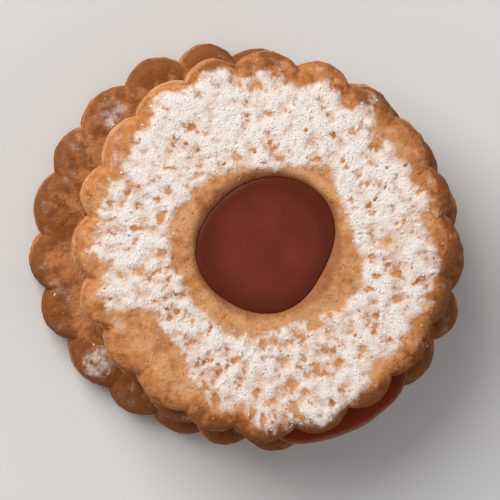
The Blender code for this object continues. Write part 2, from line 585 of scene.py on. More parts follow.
def end_tree(geometry, material):
    """Close a tree with real geometry in one material, and return it."""
    tree = geometry.tree
    real = result(tree, "GeometryNodeRealizeInstances", {"Geometry": geometry})
    inputs = {"Geometry": real, "Material": material}
    painted = result(tree, "GeometryNodeSetMaterial", inputs)
    add_node(tree, "NodeGroupOutput", {"Geometry": painted})
    return tree


def read_position(tree):
    """Return the position of each point."""
    return result(tree, "GeometryNodeInputPosition")


def read_normal(tree):
    """Return the normal at each point."""
    return result(tree, "GeometryNodeInputNormal")


def read_attribute(tree, name):
    """Return a stored number of each point, in a modifier tree."""
    return result(tree, "GeometryNodeInputNamedAttribute", {"Name": name}, data_type="FLOAT")


def move(geometry, **target):
    """Return the geometry with its points moved, to a Position or by an Offset."""
    return result(geometry.tree, "GeometryNodeSetPosition", {"Geometry": geometry, **target})


def store(geometry, name, value):
    """Return the geometry with a named number stored at each point."""
    inputs = {"Geometry": geometry, "Name": name, "Value": value}
    kind = "GeometryNodeStoreNamedAttribute"
    return result(geometry.tree, kind, inputs, data_type="FLOAT", domain="POINT")


def slow_wave(angle, chance, turns):
    """Return the same slow wave round the circle that the solids have, between -1 and 1."""
    total = 0.0
    for turn in turns:
        total = total + cosine(angle * turn + chance * float(turn * turn)) / float(turn)
    return total / sum(1 / turn for turn in turns)


def waves(angle, plan):
    """Return the sum of planned waves at an angle from +X."""
    total = 0.0
    for wave in plan:
        total = total + cosine((angle - wave["towards"]) * float(wave["count"])) * wave["depth"]
    return total


def upwards(height):
    """Return a vector straight up."""
    return join(height.tree, 0.0, 0.0, height)


def scaled(vector, factor):
    """Return a vector or a colour times a number."""
    factors = join(vector.tree, factor, factor, factor)
    return vector_maths(vector.tree, "MULTIPLY", vector, factors)


def above_zero(value):
    """Return a wire's value, or 0 where it is negative."""
    return maths(value.tree, "MAXIMUM", value, 0.0)


def seen_from(place, middle):
    """Return the distance from a middle and the angle from +X round it, from above."""
    x, y = split(vector_maths(place.tree, "SUBTRACT", place, middle))[:2]
    return maths(place.tree, "SQRT", x * x + y * y), maths(place.tree, "ARCTAN2", y, x)


def quarter_round(start, end, count):
    """Return points of a quarter ellipse that leaves start level and reaches end upright."""
    points = []
    for i in range(1, count + 1):
        angle = math.pi / 2 * i / count
        x = start[0] + (end[0] - start[0]) * math.sin(angle)
        z = start[1] + (end[1] - start[1]) * (1 - math.cos(angle))
        points.append((x, z))
    return points


def straight(start, end, spacing):
    """Return evenly spaced points from start, left out, to end."""
    count = max(1, round(math.dist(start, end) / spacing))
    return [
        (
            start[0] + (end[0] - start[0]) * i / count,
            start[1] + (end[1] - start[1]) * i / count,
        )
        for i in range(1, count + 1)
    ]


def rim_radius(biscuit, name):
    """Return the radius of one of the biscuits at the foot of its lobes."""
    return getattr(biscuit, name) / 2 - biscuit.lobe_depth


def rim_points(rim, top):
    """Return the rim's profile from the flat top, over the edge, to the flat base."""
    over = quarter_round((rim - TOP_ROUND[0], top), (rim, top - TOP_ROUND[1]), TOP_ROUND_STEPS)
    side = straight(over[-1], (rim, BASE_ROUND[1]), FINE)
    height = top - TOP_ROUND[1] - BASE_ROUND[1]
    side = [
        (x + BELLY * math.sin(math.pi * (z - BASE_ROUND[1]) / height), z) for x, z in side
    ]
    under = quarter_round(
        (rim - BASE_ROUND[0], 0.0), (rim, BASE_ROUND[1]), BASE_ROUND_STEPS
    )
    under = [(rim - BASE_ROUND[0], 0.0)] + under[:-1]
    return over + side + under[::-1]


def whole_profile(biscuit, name):
    """Return the profile of a whole biscuit, fine only where the biscuits above leave it open."""
    rim = rim_radius(biscuit, name)
    top = biscuit.thickness
    hidden = straight((0.0, top), (LEDGE_FROM, top), 8 * FINE)
    shown = straight((LEDGE_FROM, top), (rim - TOP_ROUND[0], top), FINE)
    edge = rim_points(rim, top)
    base = straight(edge[-1], (0.0, 0.0), 4 * FINE)
    return [(0.0, top)] + hidden + shown + edge + base


def ring_profile(biscuit):
    """Return the closed profile of the ring biscuit."""
    rim = rim_radius(biscuit, "top_biscuit")
    top = biscuit.thickness
    hole = biscuit.hole_across / 2
    brim = (hole + HOLE_ROUND[0], top)
    face = straight(brim, (rim - TOP_ROUND[0], top), FINE)
    edge = rim_points(rim, top)
    base = straight(edge[-1], (hole, 0.0), 4 * FINE)
    wall = straight((hole, 0.0), (hole, top - HOLE_ROUND[1]), 1.5 * FINE)
    lip = quarter_round(brim, (hole, top - HOLE_ROUND[1]), HOLE_ROUND_STEPS)[:-1]
    return [brim] + face + edge + base + wall + lip[::-1]


def turned_mesh(profile, steps, closed):
    """Turn a profile of (radius, height) points about Z into a mesh."""
    points = [(radius, 0.0, height) for radius, height in profile]
    edges = [(i, i + 1) for i in range(len(points) - 1)]
    if closed:
        edges.append((len(points) - 1, 0))
    outline = bpy.data.meshes.new("profile")
    outline.from_pydata(points, edges, [])
    lathe = bpy.data.objects.new("profile", outline)
    bpy.context.scene.collection.objects.link(lathe)
    screw = lathe.modifiers.new("turn", "SCREW")
    screw.steps = steps
    screw.render_steps = steps
    screw.use_merge_vertices = True
    screw.merge_threshold = WELD
    seen = lathe.evaluated_get(bpy.context.evaluated_depsgraph_get())
    turned = bpy.data.meshes.new_from_object(seen)
    bpy.data.objects.remove(lathe, do_unlink=True)
    bpy.data.meshes.remove(outline)
    return turned


def add_object(name, mesh):
    """Add a mesh to the scene as an object."""
    piece = bpy.data.objects.new(name, mesh)
    bpy.context.scene.collection.objects.link(piece)
    return piece


def apply_trees(piece, trees, values):
    """Run trees on a piece, each with the values it takes, and keep the result as its mesh."""
    for tree in trees:
        modifier = piece.modifiers.new(tree.name, "NODES")
        modifier.node_group = tree
        for socket in tree.interface.items_tree:
            if socket.in_out == "INPUT" and socket.name in values:
                modifier[socket.identifier] = values[socket.name]
    depsgraph = bpy.context.evaluated_depsgraph_get()
    made = bpy.data.meshes.new_from_object(
        piece.evaluated_get(depsgraph), preserve_all_data_layers=True, depsgraph=depsgraph
    )
    rough_mesh = piece.data
    piece.modifiers.clear()
    piece.data = made
    bpy.data.meshes.remove(rough_mesh)
    made.name = piece.name
    made.shade_smooth()
    return piece


def keep(piece, slot_name, *nodes):
    """Let a finished piece ride on the cookie, and stand for the solids it replaces."""
    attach(piece, BODY)
    if nodes:
        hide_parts(*nodes)


def fluting_tree(biscuit, material):
    """Build the tree that gives a turned biscuit its lobes and sets it in its place."""
    tree, geometry, given = new_tree(
        "fluting",
        {
            "Lobes": float(biscuit.lobes),
            "Lobe depth": biscuit.lobe_depth,
            "Rim radius": 0.0215,
            "Chance": 0.0,
            "Turn": 0.0,
            "Foot": NOWHERE,
            "Hole radius": 0.0,
            "Hole shift": NOWHERE,
        },
    )
    chance, lobes = given["Chance"], given["Lobes"]
    place = read_position(tree)
    radius, angle = seen_from(place, NOWHERE)
    width = math.tau / lobes
    share = (angle % math.tau) / width
    lobe = maths(tree, "FLOOR", share + 0.0001)
    along = maths(tree, "MAXIMUM", share - lobe, 0.0)

    def notch_angle(notch):
        stray = sine((notch % lobes) * NOTCH_STEP + chance * NOTCH_START) * NOTCH_WANDER
        return (notch + stray) * width

    start = notch_angle(lobe)
    angle = start + (notch_angle(lobe + 1.0) - start) * along
    depth = sine((lobe % lobes) * DEPTH_STEP + chance * DEPTH_START) * DEPTH_SPREAD + 1.0
    bulge = given["Lobe depth"] * depth * sine(along * math.pi) ** LOBE_FULLNESS
    at_rim = rise(radius, given["Rim radius"] * 0.80, given["Rim radius"] * 0.97)
    swell = slow_wave(angle, chance, RIM_TURNS) * RIM_WANDER
    ring = maths(tree, "GREATER_THAN", given["Hole radius"], 0.0)
    at_hole = (1.0 - rise(radius, given["Hole radius"], given["Hole radius"] + HOLE_REACH)) * ring
    turned = angle + given["Turn"]
    stray = waves(turned, HOLE_WAVES)
    radius = radius + at_rim * (bulge + swell) + at_hole * stray
    fluted = join(tree, radius * cosine(turned), radius * sine(turned), split(place)[2])
    placed = vector_maths(tree, "ADD", given["Foot"], fluted)
    placed = vector_maths(tree, "ADD", placed, scaled(given["Hole shift"], at_hole))
    return end_tree(move(geometry, Position=placed), material)


def crust_tree(material):
    """Build the tree that roughens a biscuit and stores how brown each point is baked, with
    painted shade on the side away from the light.
    """
    tree, geometry, given = new_tree(
        "crust",
        {
            "Foot": NOWHERE,
            "Thickness": 0.0052,
            "Rim radius": 0.021,
            "Face relief": 0.00013,
            "Side relief": 0.00024,
            "Pit depth": 0.00016,
            "Browner towards": PAINTED_SHADE_TOWARDS,
            "Browner by": 0.2,
            "Edge browning": 0.7,
        },
    )
    place = read_position(tree)
    radius, angle = seen_from(place, given["Foot"])
    above_foot = split(vector_maths(tree, "SUBTRACT", place, given["Foot"]))[2]
    height = above_foot / given["Thickness"]
    at_side = rise(radius, given["Rim radius"] - 1.4 * MM, given["Rim radius"] + 0.2 * MM)
    swells = noise(place, 6 * MM, detail=1.0) - 0.5
    grains = noise(place, 1.1 * MM, detail=3.0, roughness=0.6) - 0.5
    layered = vector_maths(tree, "MULTIPLY", place, (1.0, 1.0, 1.7))
    crags = noise(layered, 1.9 * MM, detail=4.0, roughness=0.6) - 0.5
    pits = 1.0 - rise(cells(shifted(place, "pits"), 1.5 * MM), 0.10, 0.34)
    pit_here = rise(noise(place, 2.3 * MM), 0.50, 0.60) * (at_side * 1.6 + 0.5)
    relief = swells * given["Face relief"] * 1.6 + grains * given["Face relief"]
    flank = rise(height, 0.10, 0.40) * (1.0 - rise(height, 0.42, 0.86)) * at_side
    relief = relief + crags * (at_side + flank * 0.9) * given["Side relief"] * 1.6
    relief = relief - pits * pit_here * given["Pit depth"]
    relief = relief - above_zero(relief) * (1.0 - rise(height, 0.01, 0.10))
    shaped = move(geometry, Offset=scaled(read_normal(tree), relief))
    blotch = noise(place, 5 * MM, detail=3.0) - 0.5
    edge = rise(radius, given["Rim radius"] - 3.2 * MM, given["Rim radius"] + 1.5 * MM)
    underneath = 1.0 - rise(height, 0.02, 0.22)
    # Painted shade: the crust is made darker on the side away from the light, and stored with the
    # baking
    side = cosine(angle - given["Browner towards"]) * given["Browner by"]
    bake = edge * (side + given["Edge browning"]) + underneath * 0.30 - flank * 0.54
    bake = bake + blotch * 1.8 + grains * 0.6
    return end_tree(store(store(shaped, "bake", bake), "flank", flank), material)


def ring_sugar_tree(biscuit, sugar, material):
    """Build the tree that dusts the ring and stores how thick the sugar lies."""
    tree, geometry, given = new_tree(
        "ring_sugar",
        {
            "Foot": NOWHERE,
            "Hole middle": NOWHERE,
            "Hole radius": biscuit.hole_across / 2,
            "Turn": 0.0,
            "Sugar thickness": sugar.thickness,
            "Even amount": 0.72,
        },
    )
    place = read_position(tree)
    from_ring, round_ring = seen_from(place, given["Foot"])
    from_hole, angle = seen_from(place, given["Hole middle"])
    ragged = noise(place, 2.0 * MM, detail=3.0) - 0.5
    inner = ragged * 2.6 * MM + BARE_ROUND_JAM + waves(angle, BARE_WAVES)
    notches = cosine((round_ring - given["Turn"]) * float(biscuit.lobes)) * 0.40 * MM
    outer = ragged * 4.0 * MM + SUGAR_REACH - notches
    for patch in BARE_PATCHES:
        facing = cosine(angle - patch["towards"])
        outer = outer - rise(facing, math.cos(patch["half_width"]), 1.0) * patch["depth"]
    strays = rise(noise(shifted(place, "strays"), 2.4 * MM, detail=3.0), 0.50, 0.72) * 0.25
    spread = maths(tree, "MAXIMUM", 1.0 - rise(from_ring - outer, -1.1 * MM, 0.8 * MM), strays)
    spread = spread * rise(from_hole - inner, -0.7 * MM, 0.7 * MM)
    drifts = (noise(shifted(place, "drifts"), 4.0 * MM, detail=1.0) - 0.5) * 0.8
    heaps = (noise(shifted(place, "heaps"), 1.7 * MM, detail=2.5) - 0.5) * 3.0
    # Partly painted light: more sugar, and so whiter sugar, on the side where the light falls
    # most
    thicker_and_lit = cosine(angle - SUGAR_THICKER_AND_LIT_TOWARDS) * 0.13
    gaps = rise(noise(shifted(place, "gaps"), 1.7 * MM, detail=3.0), 0.59, 0.69)
    nicks = rise(noise(shifted(place, "nicks"), 1.0 * MM, detail=2.0), 0.57, 0.68)
    amount = given["Even amount"] + drifts + heaps + thicker_and_lit - gaps * 0.85 - nicks * 0.62
    up = rise(split(read_normal(tree))[2], 0.45, 0.90)
    amount = above_zero(spread * amount) * up
    stain = 1.0 - rise(from_hole - given["Hole radius"] + ragged * 1.5 * MM, 0.4 * MM, 1.4 * MM)
    dusted = store(store(store(geometry, "sugar", amount), "stain", stain), "open", up)
    lift = maths(tree, "MINIMUM", amount, 1.0) * given["Sugar thickness"]
    return end_tree(move(dusted, Offset=upwards(lift)), material)


def ledge_sugar_tree(sugar, material):
    """Build the tree that dusts a ledge where the biscuits above leave it open."""
    tree, geometry, given = new_tree(
        "ledge_sugar",
        {
            "Above": NOWHERE,
            "Above radius": 0.022,
            "Higher": NOWHERE,
            "Higher radius": 0.022,
            "Sugar thickness": sugar.thickness,
        },
    )
    place = read_position(tree)
    sky = rise(split(read_normal(tree))[2], 0.35, 0.85)
    for name in ("Above", "Higher"):
        clear = seen_from(place, given[name])[0] - given[f"{name} radius"]
        sky = rise(clear, -1.8 * MM, 0.2 * MM) * sky
    patches = rise(noise(place, 3.0 * MM, detail=2.0), 0.46, 0.66) * 0.20
    for spot in LEDGE_SUGAR_AT:
        away = seen_from(place, spot)[0]
        patches = patches + (1.0 - rise(away, 0.6 * MM, 2.7 * MM)) * 0.5
    heaps = (noise(place, 1.0 * MM, detail=3.0) - 0.5) * 2.4
    amount = above_zero(patches * (heaps + 0.50)) * sky
    dusted = store(store(geometry, "sugar", amount), "stain", 0.0)
    lift = amount * given["Sugar thickness"]
    dusted = store(move(dusted, Offset=upwards(lift)), "open", sky)
    return end_tree(dusted, material)


def scatter_tree(title, attribute, material, inputs, bends):
    """Build the tree that scatters small lumps over a surface, denser where attribute is high."""
    tree, geometry, given = new_tree(title, inputs)
    crowding = read_attribute(tree, attribute) ** CROWDING
    density = given["Lumps per square metre"] * crowding
    inputs = {"Mesh": geometry, "Density": density, "Seed": given["Seed"]}
    kind = "GeometryNodeDistributePointsOnFaces"
    points = result(tree, kind, inputs, "Points", distribute_method="RANDOM")
    ball = result(tree, "GeometryNodeMeshIcoSphere", {"Radius": 0.5, "Subdivisions": bends})
    dent = (noise(shifted(read_position(tree), "dents"), 0.40) - 0.5) * given["Dents"]
    dented = scaled(read_position(tree), dent)
    lump = result(tree, "GeometryNodeSetShadeSmooth", {0: move(ball, Offset=dented)})
    size = random_value(tree, given["Smallest"], given["Largest"], given["Seed"])
    stretch = random_vector(tree, *LUMP_STRETCH, given["Seed"] + 11.0)
    scale = scaled(stretch, size)
    turn = random_vector(tree, *LUMP_TURN, given["Seed"] + 23.0)
    inputs = {"Points": points, "Instance": lump, "Rotation": turn, "Scale": scale}
    return end_tree(result(tree, "GeometryNodeInstanceOnPoints", inputs), material)


def random_value(tree, low, high, seed):
    """Return a random number for each point, more often near low."""
    inputs = {2: 0.0, 3: 1.0, 8: seed}
    share = result(tree, "FunctionNodeRandomValue", inputs, 1, data_type="FLOAT")
    return low + (high - low) * share**SMALL_SKEW


def random_vector(tree, low, high, seed):
    """Return a random vector for each point."""
    inputs = {0: low, 1: high, 8: seed}
    return result(tree, "FunctionNodeRandomValue", inputs, data_type="FLOAT_VECTOR")


def new_material(title, **finish):
    """Return a material, its tree and its shader, with the even finishes set on the shader."""
    material = bpy.data.materials.new(title)
    material.use_nodes = True
    tree = material.node_tree
    shader = tree.nodes["Principled BSDF"]
    for name, value in finish.items():
        shader.inputs[name.replace("_", " ")].default_value = value
    return material, tree, shader


def object_place(tree):
    """Return the place on the object, in metres."""
    return result(tree, "ShaderNodeTexCoord", output="Object")


def shader_attribute(tree, name):
    """Return a number stored on the mesh, in a material."""
    return result(tree, "ShaderNodeAttribute", output="Fac", attribute_name=name)


def blend(tree, share, first, second):
    """Return the colour between first, at share 0, and second, at share 1."""
    return result(tree, "ShaderNodeMix", {0: share, 6: first, 7: second}, 2, data_type="RGBA")


def opaque(colour):
    """Return a colour with full alpha."""
    return (*colour, 1.0)


def shade(colour, factor):
    """Return a colour made darker or paler by a factor."""
    return (*(min(1.0, part * factor) for part in colour), 1.0)


def paint(shader, colour, height, depth):
    """Give a shader its colour, and let a height, from 0 to 1, stand out by depth."""
    tree = colour.tree
    connect(tree, colour, shader.inputs["Base Color"])
    inputs = {"Height": height, "Distance": depth, "Strength": 1.0}
    connect(tree, result(tree, "ShaderNodeBump", inputs), shader.inputs["Normal"])


def crust_colour(tree, place, bake, biscuit):
    """Return shortcrust's colour, from golden to brown as bake goes from 0 to 1."""
    crust = blend(tree, rise(bake, 0.0, 0.55), opaque(biscuit.golden), opaque(biscuit.toasted))
    crust = blend(tree, rise(bake, 0.45, 1.05), crust, opaque(biscuit.browned))
    grains = noise(place, 0.20 * MM, detail=2.0, roughness=0.6)
    flour = noise(shifted(place, "flour"), 1.4 * MM, detail=4.0, roughness=0.6)
    light = grains * 0.55 + flour * 0.75 + 0.38
    return scaled(crust, light)


def crust_material(title, biscuit, sugar, browning, mottling):
    """Return sugar-dusted shortcrust, browner where browning is higher."""
    material, tree, shader = new_material(
        title,
        Roughness=0.80,
        Specular_IOR_Level=0.15,
        Subsurface_Weight=0.10,
        Subsurface_Scale=0.0004,
        Subsurface_Radius=(1.0, 0.6, 0.35),
    )
    place = object_place(tree)
    mottle = noise(place, 1.3 * MM, detail=5.0, roughness=0.66)
    flank = shader_attribute(tree, "flank")
    mottling = (1.0 - flank * 0.55) * mottling
    bake = shader_attribute(tree, "bake") + (mottle - 0.5) * mottling + browning
    crust = crust_colour(tree, place, bake, biscuit)
    fleck = rise(noise(shifted(place, "flecks"), 0.55 * MM, detail=2.0), 0.66, 0.76)
    crust = blend(tree, fleck * 0.6, crust, shade(biscuit.browned, 0.8))
    crust = blend(tree, shader_attribute(tree, "stain") * 0.7, crust, opaque(JAM_STAIN))
    powder = noise(shifted(place, "powder"), 0.42 * MM, detail=4.0, roughness=0.72)
    amount = shader_attribute(tree, "sugar")
    sift = amount + (powder - 0.5) * 1.5
    covered = rise(sift, -0.30, 1.0) * rise(amount, 0.0, 0.28)
    dusted = blend(tree, covered, crust, opaque(sugar.colour))
    grain = noise(place, 0.36 * MM, detail=3.0, roughness=0.65)
    pores = 1.0 - rise(cells(shifted(place, "pores"), 0.8 * MM), 0.08, 0.30)
    bare = (1.0 - covered) * (flank * 0.5 + 0.35)
    relief = mottle * 0.6 + powder * covered * 0.6 + grain * (flank * 0.7 + 0.6) - pores * bare
    paint(shader, dusted, relief, 0.00020)
    return material


def crumb_material(biscuit):
    """Return loose crumbs of crust, some golden and some brown."""
    material, tree, shader = new_material("crumbs", Roughness=0.85, Specular_IOR_Level=0.25)
    place = object_place(tree)
    bake = (noise(place, 1.6 * MM, detail=2.0) - 0.5) * 2.6 + 0.30
    colour = crust_colour(tree, place, bake, biscuit)
    paint(shader, colour, noise(place, 0.15 * MM, detail=2.0), 0.00004)
    return material


def sugar_material(sugar):
    """Return loose icing sugar."""
    material, tree, shader = new_material(
        "icing_sugar",
        Roughness=0.9,
        Specular_IOR_Level=0.15,
        Subsurface_Weight=0.25,
        Subsurface_Scale=0.0004,
    )
    place = object_place(tree)
    tone = rise(noise(place, 0.5 * MM, detail=2.0), 0.35, 0.65)
    colour = blend(tree, tone, shade(sugar.colour, 0.88), shade(sugar.colour, 1.01))
    paint(shader, colour, noise(place, 0.12 * MM, detail=2.0), 0.00003)
    return material


def jam_material(jam):
    """Return set jam, satin on top, darkened by painted shade towards the hole's edge and redder
    where squeezed out.
    """
    material, tree, shader = new_material(
        "jam",
        Roughness=0.36,
        IOR=1.38,
        Specular_IOR_Level=0.18,
        Subsurface_Weight=0.20,
        Subsurface_Scale=0.0010,
        Subsurface_Radius=(1.0, 0.18, 0.08),
    )
    place = object_place(tree)
    cloudy = rise(noise(place, 5 * MM, detail=2.0), 0.35, 0.68)
    colour = blend(tree, cloudy, shade(jam.colour, 0.90), shade(jam.colour, 1.12))
    edge = shader_attribute(tree, "edge")
    # Painted shade: the jam darkens towards the hole's edge, where the brim shades it
    colour = blend(tree, rise(edge, 0.0, 1.0), colour, opaque(JAM_SHADED_AT_BRIM))
    colour = blend(tree, rise(edge, 1.0, 2.0), colour, opaque(JAM_IN_THE_OPEN))
    wavy = noise(place, 1.6 * MM, detail=2.0) * 0.7 + noise(place, 0.35 * MM, detail=1.0) * 0.12
    paint(shader, colour, wavy, 0.00012)
    return material


def floor_material(colour):
    """Return the plain pale floor's finish."""
    return new_material(
        "floor", Base_Color=opaque(colour), Roughness=0.75, Specular_IOR_Level=0.2
    )[0]


def biscuit_values(name, biscuit):
    """Return one biscuit's place, size and baking as inputs for its trees."""
    plan = STACK[name]
    return {
        "Foot": (*plan["middle"], BASE_Z[name]),
        "Turn": math.radians(plan["turn"]),
        "Chance": plan["chance"],
        "Rim radius": rim_radius(biscuit, name),
        "Thickness": biscuit.thickness,
        **BAKING[name],
    }


def hole_middle():
    """Return where the middle of the hole is."""
    return Vector(STACK["top_biscuit"]["middle"]) + Vector(HOLE_OFF_MIDDLE)


def rim_fall(distance, reach):
    """Return how far a biscuit's rounded top edge has fallen at a distance from its middle."""
    share = np.clip((distance - (reach - TOP_ROUND[0])) / TOP_ROUND[0], 0.0, 1.0)
    return TOP_ROUND[1] * (1 - np.sqrt(1 - share**2))


def wander(angle, chance, turns):
    """Return a slow wave round the full circle, between -1 and 1, for an array of angles."""
    swings = [np.cos(turn * angle + chance * turn * turn) / turn for turn in turns]
    return sum(swings) / sum(1 / turn for turn in turns)


def smooth_share(value, low, high):
    """Rise smoothly from 0 at low to 1 at high, for an array of values."""
    share = np.clip((value - low) / (high - low), 0.0, 1.0)
    return share * share * (3 - 2 * share)


def jam_profile(biscuit, jam, fills_hole):
    """Return a jam layer's profile, with heights from the face of the biscuit below."""
    low = -JAM_SUNK
    high = jam.thickness + 2 * CONTACT_GAP + JAM_SUNK
    reach = jam.across / 2
    half = (high - low) / 2
    arc = [math.pi / 2 - math.pi * i / JAM_EDGE_STEPS for i in range(JAM_EDGE_STEPS + 1)]
    rounded = [(reach - half + half * math.cos(a), low + half + half * math.sin(a)) for a in arc]
    points = [(0.0, high)]
    if fills_hole:
        face = jam.thickness + 2 * CONTACT_GAP + biscuit.thickness - jam.below_brim
        wall = biscuit.hole_across / 2 + JAM_INTO_WALL
        boss = [
            (0.0, face - 0.00010),
            (wall * 0.55, face - 0.00008),
            (wall * 0.84, face),
            (wall - 0.0006, face - 0.00004),
            (wall - 0.0002, face - 0.00016),
            (wall, face - 0.00034),
        ]
        points = smooth_line(boss, 5) + straight(boss[-1], (wall, high), 0.0008)
    start = points[-1]
    points += straight(start, (reach - half - 0.003, high), 0.0012)
    points += straight(points[-1], rounded[0], 0.0004) + rounded[1:]
    points += straight(points[-1], (reach - half - 0.003, low), 0.0005)
    points += straight(points[-1], (0.0, low), 0.0024)
    return points


def smooth_line(points, count):
    """Return a smooth curve through points, with count steps between each two."""
    line = [points[0]]
    padded = [points[0]] + points + [points[-1]]
    for i in range(len(points) - 1):
        before, start, end, after = (Vector(p) for p in padded[i : i + 4])
        for step in range(1, count + 1):
            t = step / count
            a = -t + 2 * t * t - t**3
            b = 2 - 5 * t * t + 3 * t**3
            c = t + 4 * t * t - 3 * t**3
            d = t**3 - t * t
            line.append(tuple((a * before + b * start + c * end + d * after) / 2))
    return line


def shape_jam(mesh, biscuit, jam, lower, upper, fills_hole):
    """Let a turned jam layer wander, sag over the biscuit below, and find its place."""
    chance = STACK[lower]["chance"] + STACK[upper]["chance"]
    below = np.array(STACK[lower]["middle"])
    above = np.array(STACK[upper]["middle"])
    floor = BASE_Z[lower] + biscuit.thickness
    hole = biscuit.hole_across / 2
    squeezed = 0.0
    points = np.empty(len(mesh.vertices) * 3)
    mesh.vertices.foreach_get("co", points)
    x, y, z = points.reshape(-1, 3).T
    radius = np.hypot(x, y)
    angle = np.arctan2(y, x)
    half = jam.thickness / 2
    at_edge = smooth_share(radius, hole + 0.0003, jam.across / 2 - half)
    middle = np.outer(np.ones(len(x)), (below + above) / 2)
    if fills_hole:
        middle = np.outer(1 - at_edge, hole_middle()) + middle * at_edge[:, None]
        stray = sum(
            wave["depth"] * np.cos(wave["count"] * (angle - wave["towards"]))
            for wave in HOLE_WAVES
        )
        radius = radius + (1 - at_edge) * stray * smooth_share(radius, 0.0, hole)
        squeezed = smooth_share(np.cos(angle - OOZE_TOWARDS), math.cos(OOZE_HALF_WIDTH), 1.0)
        radius = radius + at_edge * jam.ooze * squeezed
    wobble = JAM_WANDER * wander(angle, chance, JAM_TURNS)
    wobble += FINE_WANDER * wander(angle, chance * 1.7, FINE_TURNS)
    radius = radius + at_edge * wobble
    x = middle[:, 0] + radius * np.cos(angle)
    y = middle[:, 1] + radius * np.sin(angle)
    layer = jam.thickness + 2 * CONTACT_GAP
    reach = rim_radius(biscuit, lower) + 0.6 * biscuit.lobe_depth
    sag = rim_fall(np.hypot(x - below[0], y - below[1]), reach)
    cover = rim_radius(biscuit, upper) + 0.3 * biscuit.lobe_depth
    free = smooth_share(np.hypot(x - above[0], y - above[1]), cover - 0.0006, cover + 0.0010)
    level = np.clip(z / layer, 0.0, 1.0)
    z = z - sag * at_edge * (1 - level + level * free)
    ripple = np.sin(x * 900 + 1.0) * np.sin(y * 1150 + 2.0) + np.sin((x + y) * 1700)
    z = z + RIPPLE * ripple * (z > layer + 2 * MM)
    mesh.vertices.foreach_set("co", np.stack([x, y, z + floor], axis=1).ravel())
    edge = mesh.attributes.new("edge", "FLOAT", "POINT")
    from_hole = np.hypot(x - hole_middle().x, y - hole_middle().y)
    # Painted shade: this share rises towards the hole's edge, where the jam's colour is darkened
    share = smooth_share(from_hole, hole - 0.0042, hole + 0.0002)
    share += smooth_share(from_hole, hole + 0.0004, hole + 0.0050) * (0.40 + 0.60 * squeezed)
    edge.data.foreach_set("value", share.astype(np.float32))
    mesh.update()


def jam_piece(name, biscuit, jam, material, lower, upper, fills_hole):
    """Make one jam layer as an object."""
    profile = jam_profile(biscuit, jam, fills_hole)
    mesh = turned_mesh(profile, JAM_STEPS, closed=False)
    shape_jam(mesh, biscuit, jam, lower, upper, fills_hole)
    mesh.materials.clear()
    mesh.materials.append(material)
    mesh.shade_smooth()
    return add_object(name, mesh)


def lump_values(per_square_mm, largest, seed, dents):
    """Return how many lumps a scatter tree makes, how large and how uneven."""
    return {
        "Lumps per square metre": per_square_mm / MM**2,
        "Smallest": SMALLEST_SHARE * largest,
        "Largest": largest,
        "Seed": seed,
        "Dents": dents,
    }


def scatter_over(title, tree, slot_name):
    """Scatter one kind of lump over each biscuit, as a piece of its own."""
    for name in DUSTED:
        surface = bpy.data.objects[name].data.copy()
        piece = add_object(f"{title}_on_{name.removeprefix('dusted_')}", surface)
        apply_trees(piece, [tree], {})
        keep(piece, slot_name)


class LINZER_OT_whole_biscuits(bpy.types.Operator):
    """Make the two whole biscuits with their dusted ledges"""

    bl_idname = "linzer.whole_biscuits"
    bl_label = "Whole biscuits"

    def execute(self, context):
        biscuit = context.scene.linzer_biscuit
        sugar = context.scene.linzer_sugar
        for name, next_up in NEXT_UP.items():
            material = crust_material(f"browned_{name}", biscuit, sugar, **CRUSTS[name])
            mesh = turned_mesh(
                whole_profile(biscuit, name), biscuit.lobes * STEPS_PER_LOBE, closed=False
            )
            piece = add_object(f"dusted_{name}", mesh)
            values = biscuit_values(name, biscuit)
            for label, over in {"Above": next_up, "Higher": "top_biscuit"}.items():
                values[label] = (*STACK[over]["middle"], 0.0)
                values[f"{label} radius"] = rim_radius(biscuit, over) + 0.7 * biscuit.lobe_depth
            trees = fluting_tree(biscuit, material), crust_tree(material)
            apply_trees(piece, [*trees, ledge_sugar_tree(sugar, material)], values)
            keep(piece, "browned_shortcrust", name)
        return {"FINISHED"}


class LINZER_OT_ring_biscuit(bpy.types.Operator):
    """Make the top biscuit with its hole and its dusting of sugar"""

    bl_idname = "linzer.ring_biscuit"
    bl_label = "Ring biscuit"

    def execute(self, context):
        biscuit = context.scene.linzer_biscuit
        sugar = context.scene.linzer_sugar
        name = "top_biscuit"
        material = crust_material("golden_ring", biscuit, sugar, **CRUSTS[name])
        mesh = turned_mesh(ring_profile(biscuit), biscuit.lobes * STEPS_PER_LOBE, closed=True)
        piece = add_object("dusted_ring", mesh)
        values = biscuit_values(name, biscuit)
        values["Hole radius"] = biscuit.hole_across / 2
        values["Hole shift"] = (*HOLE_OFF_MIDDLE, 0.0)
        values["Hole middle"] = (*hole_middle(), 0.0)
        trees = fluting_tree(biscuit, material), crust_tree(material)
        apply_trees(piece, [*trees, ring_sugar_tree(biscuit, sugar, material)], values)
        keep(piece, "shortcrust", name)
        return {"FINISHED"}


class LINZER_OT_jam_layers(bpy.types.Operator):
    """Make the jam that fills the hole and the jam between the biscuits"""

    bl_idname = "linzer.jam_layers"
    bl_label = "Jam layers"

    def execute(self, context):
        biscuit = context.scene.linzer_biscuit
        jam = context.scene.linzer_jam
        material = jam_material(jam)
        upper = jam_piece(
            "jam_in_hole", biscuit, jam, material, "middle_biscuit", "top_biscuit", True
        )
        keep(upper, "jam", "upper_jam")
        lower = jam_piece(
            "jam_between", biscuit, jam, material, "bottom_biscuit", "middle_biscuit", False
        )
        keep(lower, "jam", "lower_jam")
        return {"FINISHED"}


